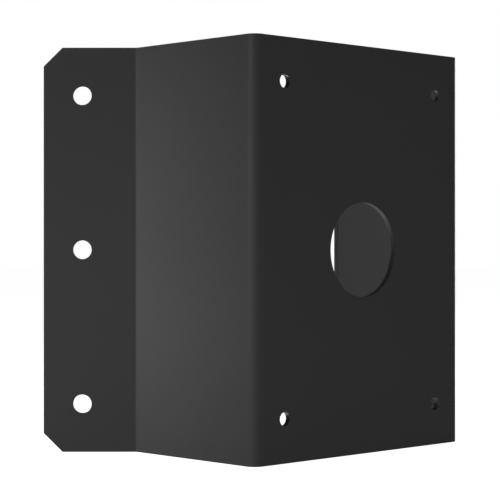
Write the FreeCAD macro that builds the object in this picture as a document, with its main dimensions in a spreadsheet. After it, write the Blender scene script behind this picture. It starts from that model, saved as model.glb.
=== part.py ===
"""Corner mount bracket that carries a camera on the outer corner of a building.

One sheet of steel is cut flat with all its holes and folded four times. Seen from above it
is a channel: a flat front plate, two straight sides, and a flange on the back of each side
that turns outwards by half of the building's corner. The flanges then lie flat on the two
walls, and the front plate faces straight away from the corner.

The origin is the middle of the cable hole, on the front face of the plate. +X runs along
the plate, +Y goes back towards the building and +Z is up. Lengths are in millimetres.
"""

import FreeCAD, Part
import Sketcher
import math
import os

# Each row: the name of the size, its value, and what it measures on the bracket.
SIZES = [
    ("height", 215.0, "from the lower edge to the upper edge of the sheet"),
    ("sheet_thickness", 3.0, "thickness of the sheet"),
    ("bend_inner_radius", 2.5, "radius on the inner side of each of the four bends"),
    ("face_width", 159.5, "front plate, from the sharp corner of one outer bend to the other"),
    ("side_depth", 90.25, "side, from the front face back to the sharp corner of the flange bend"),
    ("flange_width", 49.5, "flange, from the sharp corner of its bend to the free edge"),
    ("corner_angle", 90.0, "angle in degrees of the building's corner, between the two walls"),
    ("corner_chamfer", 10.0, "length cut off along both edges at each corner of a flange"),
    ("wall_hole_diameter", 10.0, "each of the three wall screw holes in a flange"),
    ("wall_hole_edge", 20.5, "centre of a wall screw hole to the free edge of the flange"),
    ("wall_hole_end", 25.5, "centre of an outer wall screw hole to the end of the sheet"),
    ("plate_hole_diameter", 7.0, "each of the four camera screw holes in the front plate"),
    ("plate_hole_side", 21.25, "centre of a camera screw hole to the sharp corner of the outer bend"),
    ("plate_hole_end", 22.5, "centre of a camera screw hole to the end of the sheet"),
    ("cable_hole_diameter", 50.0, "cable hole in the middle of the front plate"),
]

# Two places, or two lengths, that differ by less than this are the same.
CLOSE = 1e-6


def make_size_sheet(doc):
    """Writes the sizes into a spreadsheet, whose names the features refer to."""
    sheet = doc.addObject("Spreadsheet::Sheet", "Sizes")
    for row, (name, value, meaning) in enumerate(SIZES, start=1):
        sheet.set(f"A{row}", meaning)
        sheet.set(f"B{row}", str(value))
        sheet.setAlias(f"B{row}", name)
    doc.recompute()
    return sheet


def own_plane(body, role):
    """Finds one of the body's three origin planes by its role."""
    return next(item for item in body.Origin.OriginFeatures if item.Role == role)


def new_sketch(body, name, plane):
    """Starts a sketch that lies flat on a plane of the body."""
    sketch = body.newObject("Sketcher::SketchObject", name)
    sketch.AttachmentSupport = [(plane, "")]
    sketch.MapMode = "FlatFace"
    return sketch


def dimension(sketch, name, formula, *parts):
    """Adds a named dimension to a sketch and ties it to the sheet by a formula.

    The parts are what Sketcher.Constraint takes, with the value drawn so far at their end.
    """
    index = sketch.addConstraint(Sketcher.Constraint(*parts))
    sketch.renameConstraint(index, name)
    sketch.setExpression(f"Constraints.{name}", formula)


def line(start, end):
    """A straight stretch of an outline."""
    return Part.LineSegment(start, end)


def arc(centre, radius, first, last):
    """An arc of an outline, counterclockwise between two angles in degrees."""
    circle = Part.Circle(centre, FreeCAD.Vector(0, 0, 1), radius)
    return Part.ArcOfCircle(circle, math.radians(first), math.radians(last))


def join_ends(sketch, first, second):
    """Joins two curves where they meet, smoothly if one of them is an arc."""
    for end in (1, 2):
        for start in (1, 2):
            gap = sketch.getPoint(first, end).distanceToPoint(sketch.getPoint(second, start))
            if gap < CLOSE:
                bends = isinstance(sketch.Geometry[first], Part.ArcOfCircle)
                bends = bends or isinstance(sketch.Geometry[second], Part.ArcOfCircle)
                kind = "Tangent" if bends else "Coincident"
                sketch.addConstraint(Sketcher.Constraint(kind, first, end, second, start))
                return
    raise RuntimeError(f"{sketch.Label}: curves {first} and {second} don't meet")


def draw_fold_section(body, size):
    """Draws the left half of the folded sheet as it is seen from above.

    The outline runs along the visible side, from the middle of the plate over the outer bend
    and the flange bend to the free edge, and comes back along the side that faces the building.
    """
    sketch = new_sketch(body, "FoldSection", own_plane(body, "XY_Plane"))
    point = FreeCAD.Vector
    thickness = size["sheet_thickness"]
    inner = size["bend_inner_radius"]
    outer = inner + thickness
    half = size["face_width"] / 2
    turn = size["corner_angle"] / 2
    along = point(-math.sin(math.radians(turn)), math.cos(math.radians(turn)))
    through = point(math.cos(math.radians(turn)), math.sin(math.radians(turn))) * thickness
    setback = inner * math.tan(math.radians(turn) / 2)
    bend_start = size["side_depth"] - setback
    plate_bend = point(outer - half, outer)
    flange_bend = point(-half - inner, bend_start)
    flange_corner = point(-half, size["side_depth"])
    flange_start = flange_corner + along * setback
    flange_end = flange_corner + along * size["flange_width"]
    curves = {
        "plate_front": line(point(0, 0), point(outer - half, 0)),
        "plate_bend_outside": arc(plate_bend, outer, 180, 270),
        "side_outside": line(point(-half, outer), point(-half, bend_start)),
        "flange_bend_inside": arc(flange_bend, inner, 0, turn),
        "flange_front": line(flange_start, flange_end),
        "free_edge": line(flange_end, flange_end + through),
        "flange_back": line(flange_end + through, flange_start + through),
        "flange_bend_outside": arc(flange_bend, outer, 0, turn),
        "side_inside": line(point(thickness - half, bend_start), point(thickness - half, outer)),
        "plate_bend_inside": arc(plate_bend, inner, 180, 270),
        "plate_back": line(point(outer - half, thickness), point(0, thickness)),
        "middle": line(point(0, thickness), point(0, 0)),
    }
    at = {name: sketch.addGeometry(curve, False) for name, curve in curves.items()}
    for index in range(len(curves)):
        join_ends(sketch, index, (index + 1) % len(curves))
    rule = Sketcher.Constraint
    sketch.addConstraint([
        rule("Coincident", at["plate_front"], 1, -1, 1),
        rule("Horizontal", at["plate_front"]),
        rule("Horizontal", at["plate_back"]),
        rule("Vertical", at["side_outside"]),
        rule("Vertical", at["side_inside"]),
        rule("Vertical", at["middle"]),
        rule("Perpendicular", at["flange_front"], at["free_edge"]),
        rule("Parallel", at["flange_front"], at["flange_back"]),
        rule("Coincident", at["plate_bend_outside"], 3, at["plate_bend_inside"], 3),
        rule("Coincident", at["flange_bend_outside"], 3, at["flange_bend_inside"], 3),
    ])
    corner = sketch.addGeometry(Part.Point(flange_corner), True)
    sketch.addConstraint([
        rule("PointOnObject", corner, 1, at["side_outside"]),
        rule("PointOnObject", corner, 1, at["flange_front"]),
    ])
    dimension(sketch, "thickness", "Sizes.sheet_thickness",
              "DistanceY", at["middle"], 2, at["middle"], 1, thickness)
    dimension(sketch, "half_face", "Sizes.face_width / 2",
              "DistanceX", at["side_outside"], 1, -1, 1, half)
    dimension(sketch, "depth", "Sizes.side_depth",
              "DistanceY", -1, 1, corner, 1, size["side_depth"])
    dimension(sketch, "flange", "Sizes.flange_width",
              "Distance", corner, 1, at["flange_front"], 2, size["flange_width"])
    dimension(sketch, "direction", "90 deg + Sizes.corner_angle / 2 * 1 deg",
              "Angle", at["flange_front"], math.radians(90 + turn))
    dimension(sketch, "plate_bend", "Sizes.bend_inner_radius",
              "Radius", at["plate_bend_inside"], inner)
    dimension(sketch, "flange_bend", "Sizes.bend_inner_radius",
              "Radius", at["flange_bend_inside"], inner)
    return sketch


def fold_half_sheet(body, size):
    """Raises the section to the full height, half of it above and half below the cable hole."""
    pad = body.newObject("PartDesign::Pad", "FoldedHalf")
    pad.Profile = draw_fold_section(body, size)
    pad.SideType = "Symmetric"
    pad.setExpression("Length", "Sizes.height")
    body.Document.recompute()
    return pad


def draw_hole(sketch, x, y, diameter):
    """Draws a round hole in a sketch and returns its number there."""
    circle = Part.Circle(FreeCAD.Vector(x, y), FreeCAD.Vector(0, 0, 1), diameter / 2)
    return sketch.addGeometry(circle, False)


def cut_through(body, sketch, name):
    """Cuts what a sketch encloses out of the sheet, away from the side that it lies on."""
    before = body.Tip
    pocket = body.newObject("PartDesign::Pocket", name)
    pocket.Profile = sketch
    pocket.Type = "ThroughAll"
    body.Document.recompute()
    if not pocket.Shape.Volume < before.Shape.Volume:
        raise RuntimeError(f"{name} takes nothing away")
    return pocket


def lay_sketch_on_flange(body, name, size):
    """Starts a sketch on the visible face of the left flange.

    Its origin is at mid-height on the free edge, its x axis points across the flange to the
    bend and its y axis points up.
    """
    sketch = new_sketch(body, name, own_plane(body, "XZ_Plane"))
    down = FreeCAD.Vector(0, -1, 0)
    lean = FreeCAD.Rotation(down, 90 - size["corner_angle"] / 2)
    sketch.AttachmentOffset = FreeCAD.Placement(FreeCAD.Vector(), lean)
    turn = "(Sizes.corner_angle / 2 * 1 deg)"
    sketch.setExpression("AttachmentOffset.Rotation.Angle", f"90 deg - {turn}")
    sketch.setExpression("AttachmentOffset.Base.x",
                         f"-Sizes.face_width / 2 - Sizes.flange_width * sin({turn})")
    sketch.setExpression("AttachmentOffset.Base.z",
                         f"-Sizes.side_depth - Sizes.flange_width * cos({turn})")
    return sketch


def cut_wall_holes(body, size):
    """Cuts the three wall screw holes of the left flange, one above the other."""
    sketch = lay_sketch_on_flange(body, "WallHoleSketch", size)
    edge = size["wall_hole_edge"]
    reach = size["height"] / 2 - size["wall_hole_end"]
    lower, middle, upper = [draw_hole(sketch, edge, level * reach, size["wall_hole_diameter"])
                            for level in (-1, 0, 1)]
    rule = Sketcher.Constraint
    sketch.addConstraint([
        rule("Equal", middle, lower),
        rule("Equal", middle, upper),
        rule("PointOnObject", middle, 3, -1),
        rule("Symmetric", lower, 3, upper, 3, middle, 3),
        rule("Vertical", lower, 3, upper, 3),
    ])
    dimension(sketch, "diameter", "Sizes.wall_hole_diameter",
              "Diameter", middle, size["wall_hole_diameter"])
    dimension(sketch, "from_edge", "Sizes.wall_hole_edge",
              "DistanceX", -1, 1, middle, 3, edge)
    dimension(sketch, "outer_holes", "Sizes.height - 2 * Sizes.wall_hole_end",
              "DistanceY", lower, 3, upper, 3, 2 * reach)
    return cut_through(body, sketch, "WallHoles")


def mirror_sheet(body, features):
    """Adds the right half, which is the mirror image of the left one."""
    mirrored = body.newObject("PartDesign::Mirrored", "BothHalves")
    mirrored.Originals = features
    mirrored.MirrorPlane = (own_plane(body, "YZ_Plane"), [""])
    mirrored.Refine = True
    body.Tip = mirrored
    body.Document.recompute()
    return mirrored


def cut_plate_holes(body, size):
    """Cuts the four camera screw holes, one near each corner of the front plate."""
    sketch = new_sketch(body, "PlateHoleSketch", own_plane(body, "XZ_Plane"))
    x = size["face_width"] / 2 - size["plate_hole_side"]
    z = size["height"] / 2 - size["plate_hole_end"]
    places = [(-x, -z), (x, -z), (x, z), (-x, z)]
    holes = [draw_hole(sketch, *place, size["plate_hole_diameter"]) for place in places]
    lower_left, lower_right, upper_right, upper_left = holes
    rule = Sketcher.Constraint
    sketch.addConstraint([rule("Equal", lower_left, other) for other in holes[1:]])
    sketch.addConstraint([
        rule("Symmetric", lower_left, 3, upper_right, 3, -1, 1),
        rule("Symmetric", lower_right, 3, upper_left, 3, -1, 1),
        rule("Horizontal", lower_left, 3, lower_right, 3),
        rule("Vertical", lower_left, 3, upper_left, 3),
    ])
    dimension(sketch, "diameter", "Sizes.plate_hole_diameter",
              "Diameter", lower_left, size["plate_hole_diameter"])
    dimension(sketch, "across", "Sizes.face_width - 2 * Sizes.plate_hole_side",
              "DistanceX", lower_left, 3, lower_right, 3, 2 * x)
    dimension(sketch, "up", "Sizes.height - 2 * Sizes.plate_hole_end",
              "DistanceY", lower_left, 3, upper_left, 3, 2 * z)
    return cut_through(body, sketch, "PlateHoles")


def cut_cable_hole(body, size):
    """Cuts the large round hole that the camera's cable passes through."""
    sketch = new_sketch(body, "CableHoleSketch", own_plane(body, "XZ_Plane"))
    hole = draw_hole(sketch, 0, 0, size["cable_hole_diameter"])
    sketch.addConstraint(Sketcher.Constraint("Coincident", hole, 3, -1, 1))
    dimension(sketch, "diameter", "Sizes.cable_hole_diameter",
              "Diameter", hole, size["cable_hole_diameter"])
    return cut_through(body, sketch, "CableHole")


def flange_corners(shape, size):
    """Names the four short edges where a flange's free edge meets an end of the sheet."""
    found = []
    for number, edge in enumerate(shape.Edges, start=1):
        middle = edge.CenterOfMass
        at_end = abs(abs(middle.z) - size["height"] / 2) < CLOSE
        across_sheet = abs(edge.Length - size["sheet_thickness"]) < CLOSE
        if at_end and across_sheet and abs(middle.x) > size["face_width"] / 2:
            found.append(f"Edge{number}")
    return found


def trim_flange_corners(body, size):
    """Cuts the outer corners of both flanges off at 45 degrees."""
    sheet = body.Tip
    chamfer = body.newObject("PartDesign::Chamfer", "FlangeCorners")
    chamfer.Base = (sheet, flange_corners(sheet.Shape, size))
    chamfer.setExpression("Size", "Sizes.corner_chamfer")
    body.Document.recompute()
    return chamfer


def make_bracket(doc, size):
    """Builds the folded sheet with all its holes as one body."""
    body = doc.addObject("PartDesign::Body", "CornerBracket")
    body.Label = "corner_bracket"
    half = fold_half_sheet(body, size)
    holes = cut_wall_holes(body, size)
    mirror_sheet(body, [half, holes])
    cut_plate_holes(body, size)
    cut_cable_hole(body, size)
    trim_flange_corners(body, size)
    body.Placement = FreeCAD.Placement()
    return body


def check_document(doc, bodies):
    """Stops if a feature failed, a sketch is loose or a body isn't one valid solid."""
    for item in doc.Objects:
        if "Invalid" in item.State or "Error" in item.State:
            raise RuntimeError(f"{item.Label} failed: {item.State}")
        if item.isDerivedFrom("Sketcher::SketchObject") and not item.FullyConstrained:
            raise RuntimeError(f"{item.Label} isn't fully dimensioned")
    for body in bodies:
        shape = body.Shape
        if shape.isNull() or not shape.isValid() or len(shape.Solids) != 1:
            raise RuntimeError(f"{body.Label} isn't one valid solid")


def main():
    """Builds the bracket and writes it as one file."""
    doc = FreeCAD.newDocument("CornerMountBracket")
    sheet = make_size_sheet(doc)
    size = {name: float(sheet.get(name)) for name, _, _ in SIZES}
    bracket = make_bracket(doc, size)
    doc.recompute()
    check_document(doc, [bracket])
    os.makedirs("parts", exist_ok=True)
    bracket.Shape.exportStep(f"parts/{bracket.Label}.step")
    box = bracket.Shape.BoundBox
    print(f"{bracket.Label}: {box.XLength:.2f} x {box.YLength:.2f} x {box.ZLength:.2f} mm,",
          f"volume {bracket.Shape.Volume:.1f} mm3, {len(bracket.Shape.Faces)} faces")


main()
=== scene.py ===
"""The corner mount bracket dressed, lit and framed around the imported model.

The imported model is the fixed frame. Its one steel part is drawn again here as the same folded
sheet, with the same sizes, so that the bends are smooth arcs and the cut edges have the soft
break that powder coat gives them. Lengths are written in millimetres and turned into metres
where a mesh, a lamp or a camera is made.
"""

import logging
import math
from dataclasses import dataclass
from enum import Enum

import bmesh
import bpy
from mathutils import Matrix, Vector


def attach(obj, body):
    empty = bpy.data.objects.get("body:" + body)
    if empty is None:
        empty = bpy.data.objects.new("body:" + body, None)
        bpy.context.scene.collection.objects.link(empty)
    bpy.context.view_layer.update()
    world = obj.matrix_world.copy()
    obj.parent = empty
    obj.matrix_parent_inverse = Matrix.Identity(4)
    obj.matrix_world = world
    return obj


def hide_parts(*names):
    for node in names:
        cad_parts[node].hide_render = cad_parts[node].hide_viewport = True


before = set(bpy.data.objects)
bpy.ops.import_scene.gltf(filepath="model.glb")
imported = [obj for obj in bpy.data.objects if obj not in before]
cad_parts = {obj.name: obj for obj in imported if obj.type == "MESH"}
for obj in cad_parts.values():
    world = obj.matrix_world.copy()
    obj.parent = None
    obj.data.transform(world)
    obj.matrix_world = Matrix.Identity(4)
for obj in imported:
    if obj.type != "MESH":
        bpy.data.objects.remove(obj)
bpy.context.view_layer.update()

MM = 0.001
NODE = "corner_bracket"
BODY = "root"
WHITE = (1.0, 1.0, 1.0, 1.0)

Line = list[bmesh.types.BMVert | bmesh.types.BMEdge]

log = logging.getLogger("corner_bracket")


class Outline(Enum):
    """The outline of a soft box, by the name that an area lamp gives it."""

    ROUND = "DISK"
    OBLONG = "RECTANGLE"


def linear_from_hex(code: str) -> tuple[float, float, float, float]:
    """Turns an sRGB hex colour into the linear colour that shaders expect.

    Args:
        code: Six hex digits, with or without a leading hash.

    Returns:
        Red, green, blue and an alpha of one.
    """
    digits = code.lstrip("#")
    parts = [int(digits[i : i + 2], 16) / 255 for i in (0, 2, 4)]
    red, green, blue = (c / 12.92 if c <= 0.04045 else ((c + 0.055) / 1.055) ** 2.4 for c in parts)
    return red, green, blue, 1.0


def add_node(
    tree: bpy.types.NodeTree,
    kind: str,
    settings: dict[str, object] | None = None,
    inputs: dict[str | int, object] | None = None,
) -> bpy.types.Node:
    """Adds one node to a tree, with its settings and with what feeds its sockets.

    Args:
        tree: The node tree of a material or of the world.
        kind: The node's Blender type name.
        settings: Property names of the node and their values.
        inputs: Socket names or numbers. An output socket is linked, any other value is set.

    Returns:
        The new node.
    """
    node = tree.nodes.new(kind)
    for name, value in (settings or {}).items():
        setattr(node, name, value)
    for name, value in (inputs or {}).items():
        if isinstance(value, bpy.types.NodeSocket):
            tree.links.new(value, node.inputs[name])
        else:
            node.inputs[name].default_value = value
    return node


def empty_tree(owner: bpy.types.Material | bpy.types.World) -> bpy.types.NodeTree:
    """Turns nodes on for a material or a world and clears its tree."""
    owner.use_nodes = True
    owner.node_tree.nodes.clear()
    return owner.node_tree


@dataclass(frozen=True)
class Glow:
    """How strongly the studio's white shines, for each kind of ray that meets it."""

    seen: float
    mirrored: float
    given: float

    def socket(self, tree: bpy.types.NodeTree) -> bpy.types.NodeSocket:
        """Adds the nodes that choose the strength.

        Args:
            tree: The node tree that uses the strength.

        Returns:
            The strength: seen for camera and transmission rays, mirrored for glossy rays, and
            given for every other ray.
        """
        path = add_node(tree, "ShaderNodeLightPath")
        through = add_node(
            tree,
            "ShaderNodeMath",
            {"operation": "MAXIMUM"},
            {0: path.outputs["Is Camera Ray"], 1: path.outputs["Is Transmission Ray"]},
        )
        sheen = add_node(
            tree,
            "ShaderNodeMix",
            {},
            {"Factor": path.outputs["Is Glossy Ray"], "A": self.given, "B": self.mirrored},
        )
        chosen = add_node(
            tree,
            "ShaderNodeMix",
            {},
            {"Factor": through.outputs[0], "A": sheen.outputs["Result"], "B": self.seen},
        )
        return chosen.outputs["Result"]


@dataclass(frozen=True)
class PowderCoat:
    """Black polyester powder coat on mild steel, sprayed dry and cured in an oven.

    The cured film is matt to satin: it spreads a lamp into one wide soft sheen, with a faint
    orange peel and no brush or grain direction. The film is a plastic, so it has no metallic
    reflection, and its fine texture shades part of its own sheen, which is the lower specular
    level.
    """

    name: str = "satin_black_powder_coat"
    colour_hex: str = "#252525"
    thin_film_hex: str = "#272727"
    roughness_low: float = 0.57
    roughness_high: float = 0.63
    ior: float = 1.5
    specular: float = 0.25
    peel_mm: float = 2.2
    peel_height_mm: float = 0.010
    grit_mm: float = 0.9
    grit_height_mm: float = 0.003
    cloud_mm: float = 45.0

    def per_metre(self, size_mm: float) -> float:
        """Gives the noise scale whose blotches are about size_mm across."""
        return 1.0 / (size_mm * MM)

    def material(self) -> bpy.types.Material:
        """Makes the material.

        Returns:
            The powder coat, ready for a material slot.
        """
        made = bpy.data.materials.new(self.name)
        tree = empty_tree(made)
        place = add_node(tree, "ShaderNodeTexCoord").outputs["Object"]
        cloud = self._noise(tree, place, self.cloud_mm, detail=3.0)
        peel = self._noise(tree, place, self.peel_mm, detail=1.0)
        grit = self._noise(tree, place, self.grit_mm, detail=2.0)
        tint = add_node(
            tree,
            "ShaderNodeMix",
            {"data_type": "RGBA"},
            {
                "Factor": cloud,
                "A": linear_from_hex(self.colour_hex),
                "B": linear_from_hex(self.thin_film_hex),
            },
        )
        gloss = add_node(
            tree,
            "ShaderNodeMapRange",
            {},
            {"Value": cloud, "To Min": self.roughness_low, "To Max": self.roughness_high},
        )
        fine = add_node(
            tree,
            "ShaderNodeBump",
            {},
            {"Strength": 1.0, "Distance": self.grit_height_mm * MM, "Height": grit},
        )
        waves = add_node(
            tree,
            "ShaderNodeBump",
            {},
            {
                "Strength": 1.0,
                "Distance": self.peel_height_mm * MM,
                "Height": peel,
                "Normal": fine.outputs["Normal"],
            },
        )
        coat = add_node(
            tree,
            "ShaderNodeBsdfPrincipled",
            {},
            {
                "Base Color": tint.outputs["Result"],
                "Roughness": gloss.outputs["Result"],
                "Metallic": 0.0,
                "IOR": self.ior,
                "Specular IOR Level": self.specular,
                "Normal": waves.outputs["Normal"],
            },
        )
        add_node(tree, "ShaderNodeOutputMaterial", {}, {"Surface": coat.outputs["BSDF"]})
        return made

    def _noise(
        self,
        tree: bpy.types.NodeTree,
        place: bpy.types.NodeSocket,
        size_mm: float,
        detail: float,
    ) -> bpy.types.NodeSocket:
        """Adds a noise pattern of a real size.

        Args:
            tree: The material's node tree.
            place: The coordinates that the pattern is fixed to.
            size_mm: How far apart the pattern's blotches are.
            detail: How many finer layers it has.

        Returns:
            The pattern's value, from zero to one.
        """
        noise = add_node(
            tree,
            "ShaderNodeTexNoise",
            {"noise_dimensions": "3D"},
            {"Vector": place, "Scale": self.per_metre(size_mm), "Detail": detail},
        )
        return noise.outputs[0]


@dataclass(frozen=True)
class StudioPaper:
    """Matt white background paper, which keeps a soft shadow of the bracket.

    Its glow lifts it to white for the eye. The coat's sheen shows it dimmer, because the fine
    texture of a powder coat shades itself where it is seen edge on.
    """

    name: str = "white_studio_paper"
    colour_hex: str = "#e6e6e6"
    roughness: float = 0.9
    glow: Glow = Glow(seen=0.93, mirrored=0.18, given=0.0)

    def material(self) -> bpy.types.Material:
        """Makes the material.

        Returns:
            White paper that glows for the camera and a little for reflections.
        """
        made = bpy.data.materials.new(self.name)
        # The glow is only there to be seen, so the render never aims light rays at it.
        made.cycles.emission_sampling = "NONE"
        tree = empty_tree(made)
        paper = add_node(
            tree,
            "ShaderNodeBsdfPrincipled",
            {},
            {
                "Base Color": linear_from_hex(self.colour_hex),
                "Roughness": self.roughness,
                "Emission Color": WHITE,
                "Emission Strength": self.glow.socket(tree),
            },
        )
        add_node(tree, "ShaderNodeOutputMaterial", {}, {"Surface": paper.outputs["BSDF"]})
        return made


@dataclass
class FoldedBracket:
    """The bracket: one sheet of 3 mm steel, cut, drilled and folded four times.

    The front plate lies in the plane y = 0 with the cable hole in its middle. A side runs back
    from each end of it, and a flange turns out from each side to lie along a wall. Every size
    is in millimetres and equals the one in the part's source.
    """

    finish: PowderCoat
    height: float = 215.0
    thickness: float = 3.0
    inner_radius: float = 2.5
    face_width: float = 159.5
    side_depth: float = 90.25
    flange_width: float = 49.5
    corner_angle: float = 90.0
    corner_cut: float = 10.0
    wall_hole_diameter: float = 10.0
    wall_hole_edge: float = 20.5
    wall_hole_end: float = 25.5
    plate_hole_diameter: float = 7.0
    plate_hole_side: float = 21.25
    plate_hole_end: float = 22.5
    cable_hole_diameter: float = 50.0
    edge_break: float = 0.15
    edge_segments: int = 2
    edge_least_turn: float = 30.0
    rim_band: float = 0.8
    corner_steps: int = 36
    flange_steps: int = 18
    cable_hole_steps: int = 192
    small_hole_steps: int = 64
    loose: float = 0.001
    mesh_name: str = "folded_sheet"

    @property
    def outer_radius(self) -> float:
        """The radius on the far side of a bend."""
        return self.inner_radius + self.thickness

    @property
    def flange_turn(self) -> float:
        """How far the flange turns away from the side, in radians."""
        return math.radians(self.corner_angle / 2)

    @property
    def flat_half_plate(self) -> float:
        """From the middle of the plate to the line where the corner bend starts."""
        return self.face_width / 2 - self.outer_radius

    @property
    def flange_setback(self) -> float:
        """From the flange bend's sharp corner to the line where the bend starts."""
        return self.inner_radius * math.tan(self.flange_turn / 2)

    def build(self) -> bpy.types.Object:
        """Builds, dresses and places the bracket.

        Returns:
            The finished piece, riding on the part's body in place of the CAD node.
        """
        mesh = bpy.data.meshes.new(self.mesh_name)
        shell = bmesh.new()
        self._add_plate(shell)
        self._add_left_wing(shell)
        self._mirror_wing(shell)
        self._face_outwards(shell)
        self._band_the_edges(shell)
        for face in shell.faces:
            face.smooth = True
        bmesh.ops.scale(shell, vec=(MM, MM, MM), verts=shell.verts)
        shell.to_mesh(mesh)
        shell.free()
        piece = bpy.data.objects.new(self.mesh_name, mesh)
        bpy.context.scene.collection.objects.link(piece)
        self._thicken(piece)
        mesh.materials.append(self.finish.material())
        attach(piece, BODY)
        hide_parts(NODE)
        return piece

    def _rectangle(
        self, shell: bmesh.types.BMesh, width: float, place: Matrix
    ) -> list[bmesh.types.BMVert]:
        """Adds an open rectangle of the sheet's full height.

        Args:
            shell: The mesh being built.
            width: The rectangle's width, along its own X.
            place: Where its middle goes.

        Returns:
            Its four corners.
        """
        size = Matrix.Diagonal((width, self.height, 1.0, 1.0))
        made = bmesh.ops.create_grid(
            shell, x_segments=1, y_segments=1, size=0.5, matrix=place @ size
        )
        corners = made["verts"]
        faces = list({f for v in corners for f in v.link_faces})
        bmesh.ops.delete(shell, geom=faces, context="FACES_ONLY")
        return corners

    def _circle(
        self, shell: bmesh.types.BMesh, diameter: float, steps: int, place: Matrix
    ) -> list[bmesh.types.BMVert]:
        """Adds the rim of a hole and gives its points."""
        made = bmesh.ops.create_circle(
            shell, cap_ends=False, segments=steps, radius=diameter / 2, matrix=place
        )
        return made["verts"]

    def _fill(
        self, shell: bmesh.types.BMesh, points: list[bmesh.types.BMVert], normal: Vector
    ) -> None:
        """Fills a flat panel between its outline and the rims of its holes."""
        edges = list({e for v in points for e in v.link_edges if not e.link_faces})
        bmesh.ops.triangle_fill(shell, use_beauty=True, edges=edges, normal=normal)

    def _add_plate(self, shell: bmesh.types.BMesh) -> None:
        """Adds the front plate's flat, with the cable hole and the four camera holes."""
        upright = Matrix.Rotation(math.radians(90), 4, "X")
        points = self._rectangle(shell, 2 * self.flat_half_plate, upright)
        points += self._circle(shell, self.cable_hole_diameter, self.cable_hole_steps, upright)
        across = self.face_width / 2 - self.plate_hole_side
        up = self.height / 2 - self.plate_hole_end
        for x in (-across, across):
            for z in (-up, up):
                place = Matrix.Translation((x, 0.0, z)) @ upright
                points += self._circle(
                    shell, self.plate_hole_diameter, self.small_hole_steps, place
                )
        self._fill(shell, points, Vector((0.0, -1.0, 0.0)))

    def _fold(
        self,
        shell: bmesh.types.BMesh,
        line: Line,
        axis: Vector,
        angle: float,
        steps: int,
    ) -> Line:
        """Sweeps a bend line of the sheet round a fold.

        Args:
            shell: The mesh being built.
            line: The bend line, an edge with its two points.
            axis: A point on the fold's axis, which is upright.
            angle: How far the fold turns, in radians, anticlockwise from above.
            steps: How many flats the arc is drawn with.

        Returns:
            The line where the fold ends.
        """
        swept = bmesh.ops.spin(
            shell,
            geom=line,
            cent=axis,
            axis=(0.0, 0.0, 1.0),
            dvec=(0.0, 0.0, 0.0),
            angle=angle,
            steps=steps,
            use_merge=False,
            use_duplicate=False,
        )
        return swept["geom_last"]

    def _run(self, shell: bmesh.types.BMesh, line: Line, step: Vector) -> Line:
        """Draws a flat of the sheet out of an upright line.

        Args:
            shell: The mesh being built.
            line: The line that the flat starts from, an edge with its two points.
            step: Where the flat goes and how far.

        Returns:
            The line where the flat ends.
        """
        edges = [e for e in line if isinstance(e, bmesh.types.BMEdge)]
        made = bmesh.ops.extrude_edge_only(shell, edges=edges)["geom"]
        moved = [v for v in made if isinstance(v, bmesh.types.BMVert)]
        bmesh.ops.translate(shell, vec=step, verts=moved)
        last = [e for e in moved[0].link_edges if e.other_vert(moved[0]) in moved]
        return moved + last

    def _add_left_wing(self, shell: bmesh.types.BMesh) -> None:
        """Adds the left side and flange with their bends, from the plate's left end."""
        half = self.flat_half_plate
        start = [v for v in shell.verts if abs(v.co.x + half) < self.loose]
        line = start + [e for e in start[0].link_edges if e.other_vert(start[0]) in start]
        corner = Vector((-half, self.outer_radius, 0.0))
        line = self._fold(shell, line, corner, -math.radians(self.corner_angle), self.corner_steps)
        run = self.side_depth - self.outer_radius - self.flange_setback
        line = self._run(shell, line, Vector((0.0, run, 0.0)))
        outer = -self.face_width / 2
        hinge = Vector((outer - self.inner_radius, self.side_depth - self.flange_setback, 0.0))
        self._fold(shell, line, hinge, self.flange_turn, self.flange_steps)
        self._add_flange(shell)

    def _add_flange(self, shell: bmesh.types.BMesh) -> None:
        """Adds the left flange's flat, with its cut corners and its three wall holes."""
        width = self.flange_width - self.flange_setback
        bend = Vector((-self.face_width / 2, self.side_depth, 0.0))
        away = Vector((-math.sin(self.flange_turn), math.cos(self.flange_turn), 0.0))
        turned = Matrix.Rotation(math.atan2(away.y, away.x), 4, "Z")
        upright = turned @ Matrix.Rotation(math.radians(90), 4, "X")
        middle = bend + away * (self.flange_setback + width / 2)
        corners = self._rectangle(shell, width, Matrix.Translation(middle) @ upright)
        tips = [v for v in corners if (v.co - middle).dot(away) > 0.0]
        cut = bmesh.ops.bevel(
            shell,
            geom=tips,
            offset=self.corner_cut,
            offset_type="OFFSET",
            segments=1,
            profile=0.5,
            affect="VERTICES",
            material=-1,
        )
        points = [v for v in corners if v.is_valid] + cut["verts"]
        hole = bend + away * (self.flange_width - self.wall_hole_edge)
        up = self.height / 2 - self.wall_hole_end
        for z in (-up, 0.0, up):
            place = Matrix.Translation((hole.x, hole.y, z)) @ upright
            points += self._circle(shell, self.wall_hole_diameter, self.small_hole_steps, place)
        self._fill(shell, points, Vector((-away.y, away.x, 0.0)))

    def _mirror_wing(self, shell: bmesh.types.BMesh) -> None:
        """Copies the left wing to the right and joins the whole sheet."""
        half = self.flat_half_plate
        wing = [f for f in shell.faces if f.calc_center_median().x < -half - self.loose]
        copy = bmesh.ops.duplicate(shell, geom=wing)["geom"]
        points = [v for v in copy if isinstance(v, bmesh.types.BMVert)]
        bmesh.ops.scale(shell, vec=(-1.0, 1.0, 1.0), verts=points)
        bmesh.ops.remove_doubles(shell, verts=shell.verts, dist=self.loose)

    def _face_outwards(self, shell: bmesh.types.BMesh) -> None:
        """Turns every face of the sheet to the side that looks away from the building."""
        bmesh.ops.recalc_face_normals(shell, faces=shell.faces)
        plate = min(shell.faces, key=lambda f: abs(f.calc_center_median().y))
        if plate.normal.y > 0.0:
            bmesh.ops.reverse_faces(shell, faces=shell.faces)

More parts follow.
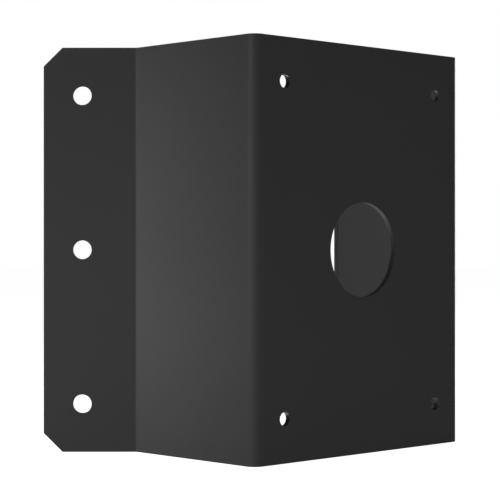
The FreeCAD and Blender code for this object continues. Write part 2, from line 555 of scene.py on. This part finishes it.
    def _band_the_edges(self, shell: bmesh.types.BMesh) -> None:
        """Adds a narrow band of faces along every cut edge, so that its break is even."""
        bmesh.ops.inset_region(
            shell,
            faces=shell.faces,
            use_boundary=True,
            use_even_offset=True,
            thickness=self.rim_band,
        )

    def _thicken(self, piece: bpy.types.Object) -> None:
        """Gives the sheet its thickness and its soft coated edges.

        Args:
            piece: The bracket, still without thickness.
        """
        sheet = piece.modifiers.new("sheet_thickness", "SOLIDIFY")
        sheet.thickness = self.thickness * MM
        sheet.offset = -1.0
        sheet.use_even_offset = True
        sheet.use_quality_normals = True
        edge = piece.modifiers.new("edge_break", "BEVEL")
        edge.width = self.edge_break * MM
        edge.segments = self.edge_segments
        edge.limit_method = "ANGLE"
        edge.angle_limit = math.radians(self.edge_least_turn)
        edge.use_clamp_overlap = False
        edge.harden_normals = True
        edge.profile = 0.5


@dataclass(frozen=True)
class SoftBox:
    """One soft box, with its place, its aim and its size in millimetres.

    A spread below 180 degrees is a fabric grid in front of the box: it keeps the light on the
    part of the bracket that the box faces, and off the paper.
    """

    name: str
    outline: Outline
    place: tuple[float, float, float]
    aim: tuple[float, float, float]
    size: tuple[float, float]
    watts: float
    spread: float = 180.0

    def build(self) -> bpy.types.Object:
        """Makes the soft box, which lights the bracket but stays out of every picture.

        Returns:
            The lamp object.
        """
        data = bpy.data.lights.new(self.name, "AREA")
        data.shape = self.outline.value
        data.size = self.size[0] * MM
        if self.outline is Outline.OBLONG:
            data.size_y = self.size[1] * MM
        data.energy = self.watts
        data.spread = math.radians(self.spread)
        lamp = bpy.data.objects.new(self.name, data)
        lamp.location = Vector(self.place) * MM
        ahead = (Vector(self.aim) - Vector(self.place)).normalized()
        lamp.rotation_euler = ahead.to_track_quat("-Z", "Y").to_euler()
        lamp.visible_camera = False
        bpy.context.scene.collection.objects.link(lamp)
        return lamp


def soft_boxes() -> tuple[SoftBox, ...]:
    """Lists the soft boxes: a key square to the left side, weak fills, and small strips close by.

    The left box is the key. The strips low in front and beside the left fold give the side and
    the plate their fall from light to dark. The narrow grid at the left lights the left side and,
    past the left flange, the inside of the right side. The small boxes behind the plate throw
    light up onto the walls of its holes. The two rear boxes light the faces that turn away from
    the camera.

    Returns:
        Every soft box of the studio.
    """
    middle = (0.0, 60.0, 0.0)
    return (
        SoftBox(
            name="left_key",
            outline=Outline.ROUND,
            place=(-2000.0, 25.0, 209.0),
            aim=middle,
            size=(1000.0, 1000.0),
            watts=2.55,
            spread=50.0,
        ),
        SoftBox(
            name="right_fill",
            outline=Outline.ROUND,
            place=(1027.4, -1643.2, 209.1),
            aim=middle,
            size=(1000.0, 1000.0),
            watts=0.69,
            spread=50.0,
        ),
        SoftBox(
            name="right_rear",
            outline=Outline.ROUND,
            place=(1930.8, 537.8, 209.1),
            aim=middle,
            size=(1000.0, 1000.0),
            watts=1.4,
            spread=50.0,
        ),
        SoftBox(
            name="top_rear",
            outline=Outline.ROUND,
            place=(693.4, 780.6, 1732.1),
            aim=middle,
            size=(1200.0, 1200.0),
            watts=2.5,
        ),
        SoftBox(
            name="low_front_strip",
            outline=Outline.OBLONG,
            place=(-424.3, -424.3, -70.0),
            aim=(0.0, 30.0, -70.0),
            size=(300.0, 70.0),
            watts=0.805,
        ),
        SoftBox(
            name="low_plate_strip",
            outline=Outline.OBLONG,
            place=(0.0, -200.0, -85.0),
            aim=(0.0, 0.0, -85.0),
            size=(240.0, 30.0),
            watts=0.0255,
        ),
        SoftBox(
            name="low_left_strip",
            outline=Outline.OBLONG,
            place=(-226.3, 169.7, -70.0),
            aim=(-79.9, 89.8, -70.0),
            size=(120.0, 70.0),
            watts=0.0542,
        ),
        SoftBox(
            name="left_flange_grid",
            outline=Outline.OBLONG,
            place=(-572.8, 487.9, 30.0),
            aim=(-81.3, 145.0, 0.0),
            size=(160.0, 240.0),
            watts=0.0741,
            spread=22.0,
        ),
        SoftBox(
            name="behind_cable_hole",
            outline=Outline.OBLONG,
            place=(0.0, 15.0, -105.0),
            aim=(0.0, 5.0, 20.0),
            size=(80.0, 20.0),
            watts=0.0386,
            spread=60.0,
        ),
        SoftBox(
            name="behind_upper_holes",
            outline=Outline.OBLONG,
            place=(-4.0, 60.0, 0.0),
            aim=(-4.0, 0.0, 85.0),
            size=(122.0, 24.0),
            watts=0.031,
            spread=50.0,
        ),
        SoftBox(
            name="behind_lower_holes",
            outline=Outline.OBLONG,
            place=(0.0, 24.0, -104.5),
            aim=(0.0, 1.5, -82.0),
            size=(124.0, 14.0),
            watts=0.0066,
            spread=60.0,
        ),
    )


@dataclass
class Studio:
    """The room: white paper under the bracket, dim soft surroundings and soft boxes."""

    paper: StudioPaper = StudioPaper()
    floor_level: float = -107.5
    floor_size: float = 12000.0
    room: Glow = Glow(seen=1.0, mirrored=0.03, given=0.08)

    def build(self) -> None:
        """Builds the floor, the surroundings and the soft boxes."""
        self._add_floor()
        self._add_world()
        for box in soft_boxes():
            lamp = box.build()
            log.info("soft box %s", lamp.name)

    def _add_floor(self) -> None:
        """Adds the paper that the bracket stands on."""
        mesh = bpy.data.meshes.new("paper_floor")
        shell = bmesh.new()
        level = Matrix.Translation((0.0, 0.0, self.floor_level * MM))
        bmesh.ops.create_grid(
            shell, x_segments=1, y_segments=1, size=self.floor_size * MM / 2, matrix=level
        )
        shell.to_mesh(mesh)
        shell.free()
        mesh.materials.append(self.paper.material())
        floor = bpy.data.objects.new("paper_floor", mesh)
        bpy.context.scene.collection.objects.link(floor)

    def _add_world(self) -> None:
        """Makes the surroundings white to the camera and dim as a source of light.

        The dim room is also what the coat mirrors, because the bracket has no bare metal and no
        glass, and in a white room its black film would look grey.
        """
        world = bpy.data.worlds.new("white_room")
        bpy.context.scene.world = world
        tree = empty_tree(world)
        air = add_node(
            tree,
            "ShaderNodeBackground",
            {},
            {"Color": WHITE, "Strength": self.room.socket(tree)},
        )
        add_node(tree, "ShaderNodeOutputWorld", {}, {"Surface": air.outputs[0]})


@dataclass(frozen=True)
class BracketCamera:
    """The camera at the photograph's viewpoint, found from the bracket's own corners and holes.

    The photograph looks square at the left flange, which stands left of the middle, so its frame
    is shifted a little to the left and down.
    """

    position: tuple[float, float, float] = (-658.559, -599.632, 2.810)
    azimuth: float = 45.0
    pitch: float = 0.0
    lens: float = 121.450
    sensor: float = 36.0
    shift: tuple[float, float] = (-0.0688, -0.0110)
    nearest: float = 10.0
    farthest: float = 100000.0

    def build(self) -> bpy.types.Object:
        """Makes the camera and gives the scene that camera.

        Returns:
            The camera object.
        """
        data = bpy.data.cameras.new("bracket_camera")
        data.lens = self.lens
        data.sensor_width = self.sensor
        data.shift_x, data.shift_y = self.shift
        data.clip_start = self.nearest * MM
        data.clip_end = self.farthest * MM
        turn = math.radians(self.azimuth)
        rise = math.radians(self.pitch)
        ahead = Vector(
            (math.cos(turn) * math.cos(rise), math.sin(turn) * math.cos(rise), math.sin(rise))
        )
        camera = bpy.data.objects.new("bracket_camera", data)
        camera.location = Vector(self.position) * MM
        camera.rotation_euler = ahead.to_track_quat("-Z", "Y").to_euler()
        bpy.context.scene.collection.objects.link(camera)
        bpy.context.scene.camera = camera
        return camera


def main() -> None:
    """Builds the camera, the studio and the bracket, and reports each piece."""
    logging.basicConfig(level=logging.INFO, format="%(name)s: %(message)s")
    bpy.context.scene.view_settings.view_transform = "Standard"
    camera = BracketCamera().build()
    log.info("camera %s at %s", camera.name, [round(c, 4) for c in camera.location])
    Studio().build()
    piece = FoldedBracket(PowderCoat()).build()
    log.info("piece %s with %d faces before thickness", piece.name, len(piece.data.polygons))


if __name__ == "__main__":
    main()
